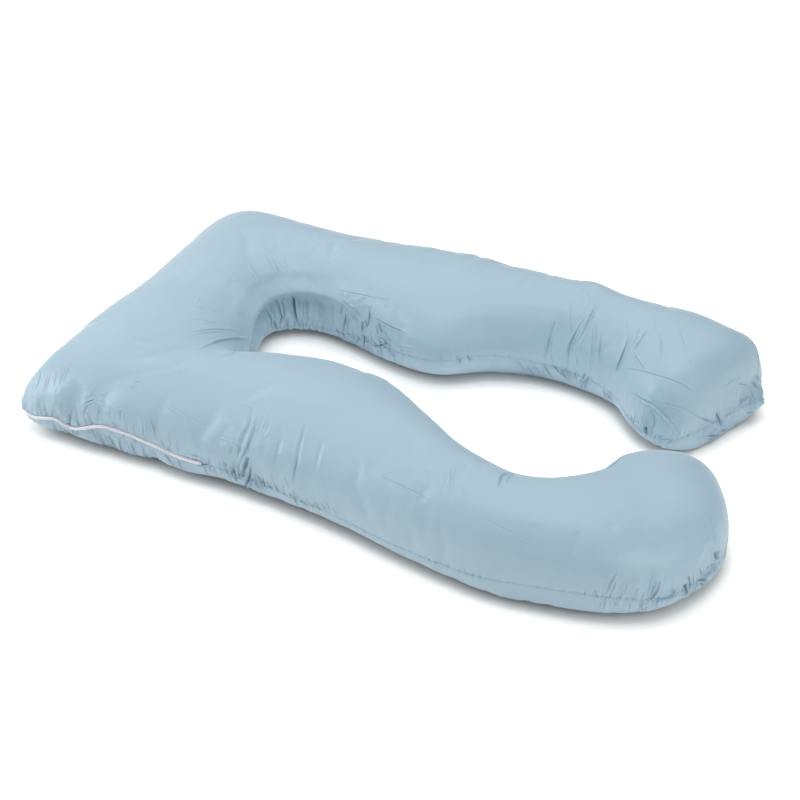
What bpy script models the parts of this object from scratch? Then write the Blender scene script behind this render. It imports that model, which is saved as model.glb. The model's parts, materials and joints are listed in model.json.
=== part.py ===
"""Body pillow: one U-shaped filled cushion lying on its back, with a closed zip in its side seam.

Metres, +Z up. The closed head end is at -X and both legs run towards +X; the underside rests
flat at z = 0. The cover is a top and a bottom panel sewn together all the way round, so every
section has an outer and an inner seam point low on its sides and a crown between them.
"""
import bpy
import numpy as np

for old in list(bpy.data.objects):
    bpy.data.objects.remove(old, do_unlink=True)

MM = 0.001
STEPS = 7                  # stations between two rows of SECTIONS
CAP_STEPS = 9              # stations round each leg end
SIDE_POWER = 0.81          # how square a section's sides are
TOP_POWER = 0.90           # how flat a section's crown is
RIM_SIDE_POWER = 0.60      # the same two round the neck, where the top breaks at a firm rim
RIM_TOP_POWER = 0.58
UNDER_SLOPE = 1.25         # how soon the bottom panel reaches the floor
CAP_CROWN_POWER = 0.5      # how long a leg end keeps its crown
FOLD_END_POWER = 4         # how late a fold fades towards its ends
SEAM_DRAW = 2.5 * MM       # how far the seam is drawn in
ZIP_DRAW = 4.5 * MM        # how far it is drawn in behind the zip
ZIP_START_X = -0.630       # at the near head corner
ZIP_END_X = -0.250
NEAR_SIDE_Y = -0.300       # the zip's side of the head lies beyond this
ZIP_WIDTH = 5.0 * MM
ZIP_BACK = 1.6 * MM        # from the drawn-in seam to the back of the zip
ZIP_THICK = 3.2 * MM
CENTRING = np.array([0.7, 1.0, 0.0]) * MM   # puts the origin under the middle of the whole shape
TINY = 1e-9
COVER_BLUE = (0.43, 0.59, 0.68, 1.0)
COVER_ROUGHNESS = 0.6
ZIP_WHITE = (0.86, 0.88, 0.90, 1.0)
ZIP_ROUGHNESS = 0.4

# Angles of a section's points: 0 is the outer seam, 90 the crown, 180 the inner seam. The bottom
# panel meets the floor at TOUCH below either seam.
TOUCH = np.degrees(np.arcsin(1 / UNDER_SLOPE))
RING = (0, 5, 12, 21, 32, 45, 60, 75, 90, 105, 120, 135, 148, 159, 168, 175, 180,
        188, 198, 212, 180 + TOUCH, 270, 360 - TOUCH, 328, 342, 352)

# One row per section in mm, from the near leg round the head to the far leg:
# place, outer seam x, y, z, inner seam x, y, z, crown z
SECTIONS = (
    ("near end",         591, -310, 50,  406,  -40, 50, 159),
    ("near end curl",    518, -356, 62,  398, -109, 50, 168),
    ("near bulb",        396, -386, 60,  350, -174, 50, 170),
    ("near bulb start",  298, -398, 52,  286, -195, 50, 170),
    ("near waist",       165, -384, 42,  180, -163, 50, 169),
    ("near middle",       -7, -361, 46,   86, -104, 50, 167),
    ("near shoulder",   -207, -359, 56,  -16,  -40, 46, 165),
    ("near zip end",    -290, -358, 54,  -58,  -31, 43, 163),
    ("near zip",        -399, -362, 68, -112,  -25, 40, 161),
    ("near zip rise",   -455, -368, 70, -142,  -30, 37, 159),
    ("near zip dip",    -512, -376, 51, -178,  -37, 35, 157),
    ("near zip bend",   -548, -379, 61, -206,  -49, 33, 155),
    ("near corner",     -600, -379, 50, -242,  -70, 30, 153),
    ("near head side",  -640, -346, 50, -276,  -84, 28, 155),
    ("near head",       -648, -258, 50, -316,  -82, 27, 157),
    ("near neck",       -648, -140, 50, -361,  -14, 26, 159),
    ("head middle",     -636,    6, 50, -370,   24, 26, 157),
    ("far neck",        -638,  160, 50, -380,   98, 26, 157),
    ("far head",        -645,  272, 50, -318,  141, 28, 155),
    ("far head side",   -630,  340, 50, -257,  143, 32, 153),
    ("far corner",      -580,  364, 50, -204,  131, 38, 153),
    ("far shoulder",    -393,  366, 50, -110,  104, 58, 158),
    ("far middle",      -194,  391, 50,  -16,  101, 72, 164),
    ("far waist",         -5,  393, 50,   61,  168, 70, 169),
    ("far bulb start",   152,  390, 50,  162,  204, 56, 173),
    ("far bulb",         296,  385, 50,  285,  189, 50, 177),
    ("far end curl",     404,  397, 46,  341,  142, 48, 182),
    ("far end",          490,  386, 44,  386,  100, 44, 179),
)

# Sections with a firm rim above the inner seam: how firm, from 0 to 1
RIMS = {"near head": 0.25, "near neck": 0.8, "head middle": 1.0, "far neck": 1.0, "far head": 1.0,
        "far head side": 0.9, "far corner": 0.7, "far shoulder": 0.25}

# Leg ends: reach beyond the last section, roundness, turn in degrees
NEAR_CAP = (0.161, 0.66, 15.0)
FAR_CAP = (0.073, 0.47, 0.0)

# Troughs of the main creases and gathers in mm: place, start x, y, z, end x, y, z, width, depth
FOLDS = (
    ("near side drag",       -200, -227, 158, -169, -352,  95, 16, 7),
    ("near side drag 2",     -159, -240, 160, -149, -357,  77, 14, 4),
    ("near side gather 1",   -212, -330, 120, -227, -358,  45, 13, 5),
    ("near side gather 2",   -185, -357,  95, -181, -354,  30, 11, 7),
    ("near side gather 3",   -155, -354, 100, -146, -358,  32, 11, 8),
    ("near side gather 4",   -133, -356,  90, -122, -355,  30, 11, 7),
    ("near side gather 5",   -113, -347, 105,  -79, -358,  40, 12, 6),
    ("near side crease",     -283, -335, 119, -168, -343, 111, 10, 4),
    ("near corner gather 1", -629, -339, 105, -612, -377,  60, 13, 6),
    ("near corner gather 2", -582, -338, 122, -572, -378,  66, 14, 6),
    ("near corner gather 3", -519, -349, 117, -517, -376,  70, 13, 5),
    ("near corner gather 4", -455, -345, 118, -462, -368,  76, 13, 5),
    ("zip gather 1",         -345, -340, 112, -342, -360,  72, 12, 4),
    ("under zip gather 1",   -540, -378,  50, -552, -350,  15, 12, 5),
    ("under zip gather 2",   -440, -365,  55, -455, -345,  15, 12, 5),
    ("under zip gather 3",   -350, -360,  52, -360, -335,  15, 12, 5),
    ("neck fan 1",           -321, -224, 154, -347,  -68, 101, 14, 4),
    ("neck fan 2",           -376, -156, 145, -364,  -30, 107, 13, 5),
    ("neck fan 3",           -446,  -60, 152, -388,   -8, 118, 13, 5),
    ("neck fan 4",           -456,    6, 153, -392,   18, 120, 13, 5),
    ("neck fan 5",           -460,   66, 151, -408,   74, 124, 13, 5),
    ("neck fan 6",           -452,  126, 151, -400,  106, 122, 13, 5),
    ("neck fan 7",           -424,  192, 151, -372,  146, 126, 13, 5),
    ("neck wall gather 1",   -387,   52,  92, -378,   54,  40, 11, 5),
    ("neck wall gather 2",   -391,   92,  94, -382,   93,  36, 11, 5),
    ("neck wall fold",       -354,  138, 104, -342,  133,  34, 12, 11),
    ("neck wall gather 3",   -380,  117,  92, -371,  112,  38, 11, 5),
    ("neck wall gather 4",   -306,  152,  96, -303,  147,  36, 11, 5),
    ("inner crumple 1",      -246,  149,  94, -229,  140,  44, 12, 7),
    ("inner crumple 2",      -200,  137,  88, -184,  128,  50, 12, 6),
    ("inner crumple 3",      -150,  118,  80, -112,  107,  54, 12, 6),
    ("far drag 1",            165,  226, 139,  161,  205,  70, 12, 5),
    ("far drag 2",            177,  262, 168,  204,  205,  72, 13, 5),
    ("far drag 3",            235,  279, 173,  222,  209,  90, 13, 5),
    ("far drag 4",            317,  219, 162,  307,  182,  80, 13, 5),
    ("far drag 5",            369,  235, 176,  375,  170, 140, 13, 4),
    ("far end dimple",        398,   98,  72,  408,   92,  50, 14, 12),
    ("far end fold 1",        357,  135, 100,  398,   98,  70, 12, 6),
    ("far end fold 2",        400,  112, 118,  404,   95,  75, 11, 6),
    ("far end fold 3",        415,  105, 110,  460,  106,  56, 12, 5),
    ("far end gather 1",      487,  146,  70,  494,  160,  15, 11, 6),
    ("far end gather 2",      500,  185,  75,  512,  212,  15, 11, 6),
    ("far ear fold",          528,  262,  85,  540,  278,  20, 13, 8),
    ("far ear crease",        530,  279,  98,  545,  325,  62, 11, 6),
    ("near end gather 1",     641, -140,  98,  647, -172,  50, 11, 4),
    ("near end gather 2",     640, -200,  92,  642, -214,  46, 11, 6),
    ("near end gather 3",     633, -222,  90,  632, -246,  44, 11, 6),
    ("near end gather 4",     613, -262, 100,  606, -284,  44, 12, 7),
    ("near end gather 5",     572, -300, 108,  572, -324,  50, 12, 5),
    ("near end gather 6",     540, -318, 112,  538, -345,  56, 12, 4),
    ("near leg gather 1",     199, -385,  90,  165, -376,  20, 12, 4),
    ("near leg gather 2",     257, -392,  95,  238, -392,  30, 12, 4),
    ("near leg nick",         300, -215, 130,  290, -200,  80, 14, 4),
)

# Places pulled out of the smooth shape in mm: place, x, y, z, pull x, y, z, radius
PULLS = (
    ("far end corner",    542,  298, 38,  30, -10,   9, 25),
    ("far end heel",      392,   98, 20,   3,  12,   0, 30),
    ("near head corner", -632, -362, 50,  -6,  -6,   0, 30),
    ("far head corner",  -636,  352, 50,  -8,   8,   0, 36),
)


def catmull(rows, steps):
    """Rows joined by a smooth curve, with the given number of stations per span."""
    rows = np.vstack([2 * rows[0] - rows[1], rows, 2 * rows[-1] - rows[-2]])
    t = np.arange(steps)[:, None] / steps
    spans = []
    for a, b, c, d in zip(rows, rows[1:], rows[2:], rows[3:]):
        spans.append(0.5 * (2 * b + (c - a) * t + (2 * a - 5 * b + 4 * c - d) * t ** 2
                            + (3 * b - a - 3 * c + d) * t ** 3))
    return np.vstack(spans + [rows[-2:-1]])


def leg_end(last, before, cap):
    """Sections that close a leg beyond its last one; the very last has no width."""
    reach, roundness, turn = cap[0], cap[1], np.radians(cap[2])
    middle, half = (last[:3] + last[3:6]) / 2, (last[:3] - last[3:6]) / 2
    half[2] = 0.0
    out = np.array([half[1], -half[0]]) / np.hypot(half[0], half[1])
    if out @ (middle - (before[:3] + before[3:6]) / 2)[:2] < 0:
        out = -out
    out = np.array([out[0] * np.cos(turn) - out[1] * np.sin(turn),
                    out[0] * np.sin(turn) + out[1] * np.cos(turn), 0.0])
    rows = []
    for k in range(1, CAP_STEPS + 1):
        p = k / CAP_STEPS * np.pi / 2
        closing = max(np.cos(p), 0.0)
        wide, tall = closing ** roundness, closing ** CAP_CROWN_POWER
        centre = middle + out * reach * np.sin(p)
        top = centre[2] + (last[6] - centre[2]) * tall
        rows.append(np.concatenate([centre + half * wide, centre - half * wide, [top]]))
    return np.array(rows)


def near_line(where, start, end):
    """Distance of every point to a straight line, and how far along it the point lies (0 to 1)."""
    way = end - start
    t = np.clip((where - start) @ way / (way @ way), 0, 1)
    return np.linalg.norm(where - start - t[..., None] * way, axis=-1), t


def outward(skin):
    """Outward normal at every point of a grid of sections."""
    along = np.gradient(skin, axis=0)
    round_it = np.roll(skin, -1, axis=1) - np.roll(skin, 1, axis=1)
    n = np.cross(round_it, along)
    return n / np.maximum(np.linalg.norm(n, axis=-1, keepdims=True), TINY)


def solid(name, verts, faces, colour, roughness):
    mesh = bpy.data.meshes.new(name)
    mesh.from_pydata([tuple(v) for v in verts], [], faces)
    for face in mesh.polygons:
        face.use_smooth = True
    material = bpy.data.materials.new(name)
    material.use_nodes = True
    shader = material.node_tree.nodes["Principled BSDF"]
    shader.inputs["Base Color"].default_value = colour
    shader.inputs["Roughness"].default_value = roughness
    mesh.materials.append(material)
    made = bpy.data.objects.new(name, mesh)
    bpy.context.scene.collection.objects.link(made)
    return made


# Pillow: the sections, then the drawn-in seam, the folds and the pulled corners
table = np.array([row[1:] for row in SECTIONS], float) * MM
line = catmull(table, STEPS)
line = np.vstack([leg_end(line[0], line[1], NEAR_CAP)[::-1], line,
                  leg_end(line[-1], line[-2], FAR_CAP)])
angle = np.radians(RING)
rim = catmull(np.array([[RIMS.get(row[0], 0.0)] for row in SECTIONS]), STEPS)[:, 0]
rim = np.concatenate([np.zeros(CAP_STEPS), rim, np.zeros(CAP_STEPS)])
firm = rim[:, None] * ((angle > np.pi / 2) & (angle < np.pi))
side_power = SIDE_POWER + (RIM_SIDE_POWER - SIDE_POWER) * firm
top_power = TOP_POWER + (RIM_TOP_POWER - TOP_POWER) * firm
across = np.sign(np.cos(angle)) * np.abs(np.cos(angle)) ** side_power
across[:, np.abs(np.cos(angle)) < TINY] = 0.0
outer, inner, crown = line[:, None, :3], line[:, None, 3:6], line[:, None, 6]
skin = (outer + inner) / 2 + (outer - inner) / 2 * across[..., None]
seam_z = skin[..., 2]
rise = np.clip(np.sin(angle), 0, 1) ** top_power
drop = 1 - np.clip(-np.sin(angle) * UNDER_SLOPE, 0, 1)
skin[..., 2] = np.where(np.sin(angle) > -TINY, seam_z + (crown - seam_z) * rise, seam_z * drop)

stations, points = skin.shape[:2]
first, last = 1, stations - 2
OUTER_SEAM, INNER_SEAM = RING.index(0), RING.index(180)
normal = outward(skin)
zipped = (line[:, 0] > ZIP_START_X) & (line[:, 0] < ZIP_END_X) & (line[:, 1] < NEAR_SIDE_Y)
on_floor = skin[..., 2] < TINY

shape = skin.copy()
for place, x1, y1, z1, x2, y2, z2, width, depth in FOLDS:
    away, t = near_line(skin, np.array([x1, y1, z1]) * MM, np.array([x2, y2, z2]) * MM)
    push = depth * MM * np.exp(-(away / (width * MM)) ** 2) * (1 - (2 * t - 1) ** FOLD_END_POWER)
    shape -= normal * push[..., None]
for place, x, y, z, px, py, pz, radius in PULLS:
    near = np.exp(-(np.linalg.norm(skin - np.array([x, y, z]) * MM, axis=-1) / (radius * MM)) ** 2)
    shape += near[..., None] * np.array([px, py, pz]) * MM
draw = np.where(zipped, ZIP_DRAW, SEAM_DRAW)[:, None]
shape[:, OUTER_SEAM] -= normal[:, OUTER_SEAM] * draw * [1, 1, 0]
shape[:, INNER_SEAM] -= normal[:, INNER_SEAM] * SEAM_DRAW * [1, 1, 0]
shape[..., 2] = np.where(on_floor, 0.0, np.maximum(shape[..., 2], 0.0))
shape += CENTRING

verts = [p for s in range(first, last + 1) for p in shape[s]]
rings = last - first + 1
faces = []
for s in range(rings - 1):
    for p in range(points):
        q = (p + 1) % points
        a, b = s * points, (s + 1) * points
        faces.append((a + p, a + q, b + q, b + p))
near_tip, far_tip, end = len(verts), len(verts) + 1, (rings - 1) * points
verts += [skin[0, 0] + CENTRING, skin[-1, 0] + CENTRING]
for p in range(points):
    q = (p + 1) % points
    faces += [(near_tip, q, p), (far_tip, end + p, end + q)]
solid("pillow", verts, faces, COVER_BLUE, COVER_ROUGHNESS)

# Zip: a band that follows the drawn-in seam from the near head corner
track = shape[zipped, OUTER_SEAM]
flat = np.gradient(track[:, :2], axis=0)
away = np.column_stack([-flat[:, 1], flat[:, 0], np.zeros(len(flat))])
away /= np.linalg.norm(away, axis=1)[:, None]
if away[len(away) // 2, 1] > 0:
    away = -away
up = np.array([0, 0, ZIP_WIDTH / 2])
back, front = track + away * ZIP_BACK, track + away * (ZIP_BACK + ZIP_THICK)
band = np.stack([back - up, front - up, front + up, back + up], axis=1)
verts = band.reshape(-1, 3)
faces = []
for s in range(len(track) - 1):
    for p in range(4):
        q = (p + 1) % 4
        faces.append((s * 4 + p, s * 4 + q, s * 4 + 4 + q, s * 4 + 4 + p))
faces += [(3, 2, 1, 0), tuple(len(verts) - 4 + p for p in range(4))]
solid("zip", verts, faces, ZIP_WHITE, ZIP_ROUGHNESS)
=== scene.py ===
import bpy
import bmesh
import json
import math
import numpy as np
from mathutils import Matrix, Vector, noise
from mathutils.bvhtree import BVHTree
from mathutils.kdtree import KDTree

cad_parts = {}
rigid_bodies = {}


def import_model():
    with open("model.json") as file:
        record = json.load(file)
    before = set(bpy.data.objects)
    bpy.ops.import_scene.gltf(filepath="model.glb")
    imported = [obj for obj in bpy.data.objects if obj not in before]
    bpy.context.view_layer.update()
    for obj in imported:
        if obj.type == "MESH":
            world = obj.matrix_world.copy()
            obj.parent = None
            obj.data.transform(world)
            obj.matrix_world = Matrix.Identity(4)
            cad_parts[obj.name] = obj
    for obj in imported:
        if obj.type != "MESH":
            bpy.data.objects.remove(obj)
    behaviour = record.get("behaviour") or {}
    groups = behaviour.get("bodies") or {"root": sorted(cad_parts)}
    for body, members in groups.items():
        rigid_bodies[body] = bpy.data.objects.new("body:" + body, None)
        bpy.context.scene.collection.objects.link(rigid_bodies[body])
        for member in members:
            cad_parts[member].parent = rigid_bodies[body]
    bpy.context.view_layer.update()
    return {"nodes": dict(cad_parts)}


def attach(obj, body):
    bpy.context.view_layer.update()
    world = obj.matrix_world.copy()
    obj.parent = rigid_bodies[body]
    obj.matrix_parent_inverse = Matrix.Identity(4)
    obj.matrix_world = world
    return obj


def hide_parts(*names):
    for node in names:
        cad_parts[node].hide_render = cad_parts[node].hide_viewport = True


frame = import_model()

scene = bpy.context.scene
MM = 0.001   # lengths are given in millimetres


# The set: a sheet of white backdrop paper on the floor, wide soft panels overhead and to either
# side, and the camera at the photograph's angle. The paper has a painted glow a little past white
# that fades, as painted shade, where the pillow is close above it, and a painted grey contact
# shadow where the pillow touches it, so only these painted contact shadows show on it.
CAMERA_AZIMUTH = 28.15
CAMERA_ELEVATION = 35.9
CAMERA_DISTANCE = 3611
CAMERA_TARGET = (-27.0, -32.4, 61.5)
CAMERA_LENS = 88.96
SURROUND_COLOUR = "#FBFDFF"
SURROUND_STRENGTH = 0.03
PANELS = (   # name, place, size, watts
    ("overhead panel", (0, 0, 3000), (2600, 2600), 55),
    ("right panel", (2600, -900, 1500), (1600, 1400), 32),
    ("left panel", (-2800, -1200, 1400), (1600, 1600), 58),
    ("back right panel", (1200, 2200, 2400), (2000, 1600), 17),
    ("back panel", (-900, 2600, 1900), (2600, 1400), 17),
    ("back left panel", (-2600, 1600, 1600), (1600, 1600), 18),
    ("front panel", (300, -3000, 2200), (2000, 1400), 14),
)
PAPER_SIZE = 30000
PAPER_COLOUR = "#FAF8F5"
# Painted light on the paper: a glow that fades near the pillow, and a painted grey contact shadow
PAPER_GLOW, PAPER_GLOW_REACH = 0.30, 46         # fades where the pillow is close above the paper
PAINTED_CONTACT_SHADOW_COLOUR, PAINTED_CONTACT_SHADOW_REACH = "#A0A0A0", 23   # the paper right where the pillow touches it
SHADE_SAMPLES = 8


def linear(hex_colour):
    """An sRGB hex colour as linear red, green, blue and alpha."""
    parts = [int(hex_colour[i:i + 2], 16) / 255 for i in (1, 3, 5)]
    return [p / 12.92 if p <= 0.04045 else ((p + 0.055) / 1.055) ** 2.4 for p in parts] + [1.0]


def add_node(material, kind, settings=(), links=(), **values):
    """Adds a node to a material. Links and values name the inputs; a number picks one by place."""
    node = material.node_tree.nodes.new(kind)
    for name, value in dict(settings).items():
        setattr(node, name, value)
    for name, value in list(dict(links).items()) + list(values.items()):
        socket = node.inputs[name] if isinstance(name, int) else node.inputs[name.replace("_", " ")]
        if isinstance(value, bpy.types.NodeSocket):
            material.node_tree.links.new(value, socket)
        else:
            socket.default_value = value
    return node


def new_material(name):
    """An empty material, for add_node to build up and for dress to end."""
    material = bpy.data.materials.new(name)
    material.use_nodes = True
    material.node_tree.nodes.clear()
    return material


def dress(piece, material, **values):
    """Ends a material in a surface with these values, and puts it on a piece."""
    surface = add_node(material, "ShaderNodeBsdfPrincipled", **values)
    add_node(material, "ShaderNodeOutputMaterial", Surface=surface.outputs[0])
    piece.data.materials.append(material)


def new_object(name, data):
    added = bpy.data.objects.new(name, data)
    scene.collection.objects.link(added)
    return added


def new_piece(name, bm):
    """A mesh object in the scene made from a bmesh, shaded smooth."""
    mesh = bpy.data.meshes.new(name)
    bm.to_mesh(mesh)
    bm.free()
    mesh.shade_smooth()
    return new_object(name, mesh)


camera = scene.camera = new_object("camera", bpy.data.cameras.new("camera"))
turn, tilt = math.radians(CAMERA_AZIMUTH), math.radians(CAMERA_ELEVATION)
back = Vector((math.sin(turn) * math.cos(tilt), -math.cos(turn) * math.cos(tilt), math.sin(tilt)))
camera.location = (Vector(CAMERA_TARGET) + back * CAMERA_DISTANCE) * MM
camera.rotation_euler = (-back).to_track_quat("-Z", "Y").to_euler()
camera.data.sensor_width = 36
camera.data.lens = CAMERA_LENS
camera.data.clip_end = 50
scene.view_settings.view_transform = "Standard"
scene.view_settings.look = "None"

world = scene.world = bpy.data.worlds.new("studio surround")
world.use_nodes = True
surround = world.node_tree.nodes["Background"].inputs
surround["Color"].default_value = linear(SURROUND_COLOUR)
surround["Strength"].default_value = SURROUND_STRENGTH

for name, place, size, watts in PANELS:
    light = bpy.data.lights.new(name, "AREA")
    light.shape = "RECTANGLE"
    light.size, light.size_y = (s * MM for s in size)
    light.energy = watts
    lamp = new_object(name, light)
    lamp.location = Vector(place) * MM
    lamp.rotation_euler = (-Vector(place)).to_track_quat("-Z", "Y").to_euler()

bm = bmesh.new()
bmesh.ops.create_grid(bm, x_segments=1, y_segments=1, size=PAPER_SIZE * MM / 2)
paper = new_piece("backdrop paper", bm)
# Uncoated paper: quite matt, so it mirrors nothing. A soft grey contact shadow is painted on it
# where the pillow touches it, and its painted glow fades near the pillow as painted shade
paper_painted_glow_and_shadow = new_material("white backdrop paper with painted glow and shadow")
painted_glow_share, painted_contact_shadow = (
    add_node(paper_painted_glow_and_shadow, "ShaderNodeAmbientOcclusion", {"samples": SHADE_SAMPLES},
             Distance=reach * MM).outputs["AO"] for reach in (PAPER_GLOW_REACH, PAINTED_CONTACT_SHADOW_REACH))
glow = add_node(paper_painted_glow_and_shadow, "ShaderNodeMath", {"operation": "MULTIPLY"}, {0: painted_glow_share, 1: PAPER_GLOW})
# Painted contact shadow: the paper's colour turns grey close under the pillow
painted_shadow_tone = add_node(paper_painted_glow_and_shadow, "ShaderNodeMix", {"data_type": "RGBA"},
                {0: painted_contact_shadow, 6: linear(PAINTED_CONTACT_SHADOW_COLOUR), 7: linear(PAPER_COLOUR)})
dress(paper, paper_painted_glow_and_shadow, Base_Color=painted_shadow_tone.outputs[2], Roughness=0.9,
      Emission_Color=linear("#FFFFFF"), Emission_Strength=glow.outputs[0])


# The filled cover: a top and a bottom panel of light-blue cotton sateen, sewn together round the
# edge, turned and stuffed with loose fibre. It starts as the solid's shape in a fine even mesh and
# is inflated as cloth a little fuller than that shape, while its seam and underside are held.
CLOTH_PITCH = 7.5
SMOOTHING_ROUNDS = 3
PRESSURE = 2.5
CLOTH_FRAMES = 14
SPARE_CLOTH, SPARE_CLOTH_AT_GATHERS = 0.012, 0.05
MOST_MOVE = 16.0
SWELL_ROUNDS = 46        # how widely the swelling is averaged before it is taken back
WRINKLE_GAIN = 0.75      # what is kept of the wrinkles
FLOOR_TOUCH = 2.0        # cloth lower than this lies on the floor
FINER = ((8.0, 42.0), (3.6, 15.0))   # the mesh is halved this near a crease, and the gathered seam
FINER_SHARE = 0.35       # how gathered the seam is there, at least
NARROW = 6.0             # creases less wide than this need the finer mesh
CREASE_REACH = 3.2       # how far a crease is felt, in widths
SHOULDER, SHOULDER_OUT = 0.45, 1.7   # the small roll of cloth beside a crease, and its place in widths
CREASE_ROLL, TUCK_ROLL = 0.4, 0.7    # how broad that roll is
CRUMPLE_SIZE, CRUMPLE_DEPTH, CRUMPLE_SHARE = 17.0, 1.7, 0.25   # fine crushed folds at the gathers
SEAM_REACH = 55.0        # how far the seam's gathers run in to the panels
SEAM_WIDTH, SEAM_DEPTH = 1.8, 1.7
TUCK_LENGTH = (7, 14, 24)      # the least, the most, and what a full gather adds to the most
TUCK_DEPTH = (0.5, 0.9, 2.9)
TUCK_WIDTH, TUCK_FAN = (1.3, 3.2), 30   # it is twice as wide this far from the seam
TUCK_PITCH = (17, 11)          # in plain cloth, and what a full gather takes off it
ZIP_FROM, ZIP_TO, ZIP_SIDE = -632, -246, -300   # the zip's ends in x, and its side in y
ZIP_SLOT_WIDTH, ZIP_SLOT_DEPTH, ZIP_SLOT_EDGE = 2.9, 2.8, 0.35
ZIP_ROLL, ZIP_ROLL_OUT, ZIP_ROLL_WIDTH = 0.8, 5.2, 1.6   # the cover's rolled edge beside it

# The seam's route, round the outside of the U from the near leg and then round the inside
OUTER_SEAM = (
    (590, -307, 50), (518, -353, 62), (396, -383, 60), (299, -395, 52), (166, -379, 42), (-6, -358, 46),
    (-206, -355, 56), (-289, -353, 54), (-337, -354, 60), (-399, -357, 68), (-440, -361, 71),
    (-463, -364, 68), (-489, -367, 58), (-512, -371, 51), (-528, -372, 54), (-548, -374, 61),
    (-562, -375, 59), (-585, -376, 53), (-599, -375, 50), (-628, -367, 49), (-641, -348, 50),
    (-645, -257, 50), (-645, -139, 50), (-633, 7, 50), (-635, 161, 50), (-642, 273, 50), (-634, 347, 50),
    (-580, 363, 50), (-392, 365, 50), (-193, 390, 50), (-4, 392, 50), (153, 389, 50), (297, 384, 50),
    (405, 396, 46), (490, 385, 44))
FAR_END_SEAM = (
    (511, 372, 44), (527, 353, 44), (542, 323, 47), (555, 300, 51), (537, 280, 48), (504, 220, 44),
    (478, 159, 44), (459, 121, 44), (436, 105, 44), (413, 103, 44))
INNER_SEAM = (
    (390, 110, 44), (343, 145, 48), (287, 192, 50), (162, 207, 56), (60, 171, 70), (-16, 104, 72),
    (-109, 107, 58), (-203, 134, 38), (-256, 146, 32), (-318, 144, 28), (-382, 100, 26), (-372, 25, 26),
    (-363, -14, 26), (-317, -83, 27), (-275, -85, 28), (-240, -71, 30), (-204, -50, 33), (-177, -38, 35),
    (-141, -31, 37), (-111, -26, 40), (-58, -32, 43), (-16, -41, 46), (85, -105, 50), (180, -164, 50),
    (287, -196, 50), (352, -175, 50), (401, -109, 50), (409, -40, 50))
NEAR_END_SEAM = (
    (428, -21, 50), (448, -5, 50), (490, 15, 50), (531, 15, 50), (571, -13, 50), (602, -53, 50),
    (629, -97, 50), (645, -154, 50), (638, -207, 50), (621, -261, 50))

# Where the cover is gathered: place, x, y, z, reach, and how much of the fullness it gets
GATHERS = (
    ("near head corner", -620, -370, 60, 110, 0.7),
    ("zip", -500, -375, 50, 120, 1.0),
    ("zip end", -380, -365, 60, 90, 0.6),
    ("near side", -160, -355, 70, 90, 1.0),
    ("neck", -370, 20, 70, 120, 0.9),
    ("far neck corner", -345, 140, 70, 100, 1.0),
    ("inner crumple", -180, 125, 70, 110, 1.0),
    ("far leg inside", 230, 205, 80, 90, 0.5),
    ("far leg inner corner", 405, 95, 70, 90, 1.0),
    ("far leg end", 510, 220, 50, 90, 1.0),
    ("far leg tip", 550, 300, 50, 80, 1.0),
    ("near leg end", 630, -200, 60, 90, 1.0),
    ("near leg end side", 560, -330, 60, 90, 0.7),
    ("near leg side", 250, -392, 60, 60, 0.4),
    ("far head corner", -620, 350, 60, 110, 0.8),
)

# Cover pulled or swollen out beyond the solid, or drawn in: place, pull in x, y, z, and reach,
# then one point, or points along a line
PULLS = (
    ("far leg tip", 13, -3, -1, 15, (571, 286, 41)),
    ("near head corner", -1, -1, 2, 30, (-628, -341, 87)),
    ("head end", -3, 0, 4, 40, (-603, -277, 127)),
    ("under the zip", 0, -10, -6, 25,
     (-480, -356, 20), (-415, -347, 20), (-335, -350, 20), (-240, -350, 20)),
    ("under the near leg", 1, -5, -4, 26,
     (300, -392, 20), (430, -372, 18), (530, -338, 20), (625, -250, 26)),
    ("near leg end", -10, 3, 0, 13, (646, -190, 48)),
    ("near leg end, below", 4, -4, -2, 9, (637, -222, 44)),
    ("far leg inside", 0, -8, 0, 36,
     (-100, 106, 80), (-16, 108, 86), (40, 158, 86), (107, 192, 80), (200, 207, 74)),
    ("far leg back, near the head", -1, 3, 4, 42, (-145, 322, 150)),
    ("far leg back, middle", -2, 5, 6, 42, (-58, 335, 150)),
    ("far leg back, near the end", -2, 4, 6, 36, (192, 330, 165)),
    ("far leg end", 3, 3, 4, 34, (509, 325, 138)),
)

# The neck's rim, where the top panel turns sharply down: width, height, then points along it
NECK_RIM = (
    9, 6.5, (-362, -20, 60), (-368, -3, 81), (-375, 12, 102), (-380, 35, 107), (-388, 77, 102),
    (-378, 113, 103), (-352, 136, 104), (-311, 151, 106), (-275, 151, 107), (-245, 148, 105),
    (-200, 143, 104))

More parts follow.
